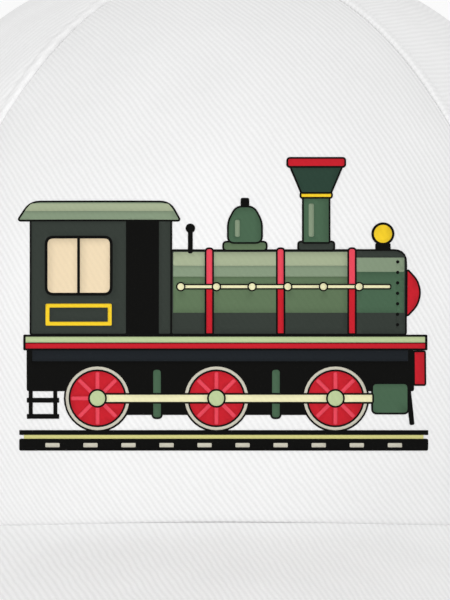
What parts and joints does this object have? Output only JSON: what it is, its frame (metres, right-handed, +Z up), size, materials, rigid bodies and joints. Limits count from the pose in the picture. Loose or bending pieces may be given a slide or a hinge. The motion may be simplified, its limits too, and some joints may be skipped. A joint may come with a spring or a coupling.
{
  "type": "baseball cap",
  "caption": "White cotton twill baseball cap with a one-piece front panel that carries a printed steam locomotive, a bent brim, and a back strap with a flip clasp.",
  "frame": {"origin": "middle of the cap's box at its base, on the surface that the cap stands on", "axes": "+X to the right when the cap is looked at from the front, -Y out over the brim, +Z up"},
  "size_m": [0.179, 0.2765, 0.1307],
  "materials": {
    "white_twill": "matt cotton twill, fine diagonal ribs",
    "buckram": "stiff open-weave lining, matt",
    "seam_tape": "plain woven cotton tape",
    "sweatband_cloth": "folded cotton twill band, soft",
    "label_satin": "blank woven satin ribbon",
    "white_thread": "spun polyester thread, satin",
    "nickel": "nickel plated, lightly brushed",
    "print_ink": "flexible heat-transfer print film, several ink colours, satin"
  },
  "bodies": {
    "cap": {"front_panel": "white_twill", "side_panel_right": "white_twill", "side_panel_left": "white_twill", "back_panel_right": "white_twill", "back_panel_left": "white_twill", "front_lining": "buckram", "seam_tapes": "seam_tape", "arch_tape": "seam_tape", "sweatband": "sweatband_cloth", "care_label": "label_satin", "button": "white_twill", "button_rivet": "nickel", "eyelets": "white_thread", "brim_top": "white_twill", "brim_underside": "white_twill", "strap": "white_twill", "clasp_tab": "white_twill", "clasp_tray": "nickel"},
    "clasp_lever": {"clasp_lever": "nickel"}
  },
  "joints": [
    {"name": "clasp_lever_hinge", "type": "hinge", "parent": "cap", "child": "clasp_lever", "pos_m": [-0.01, 0.1347, 0.01135], "axis": [0, 0.0283, 0.9996], "range_deg": [0, 120]}
  ]
}
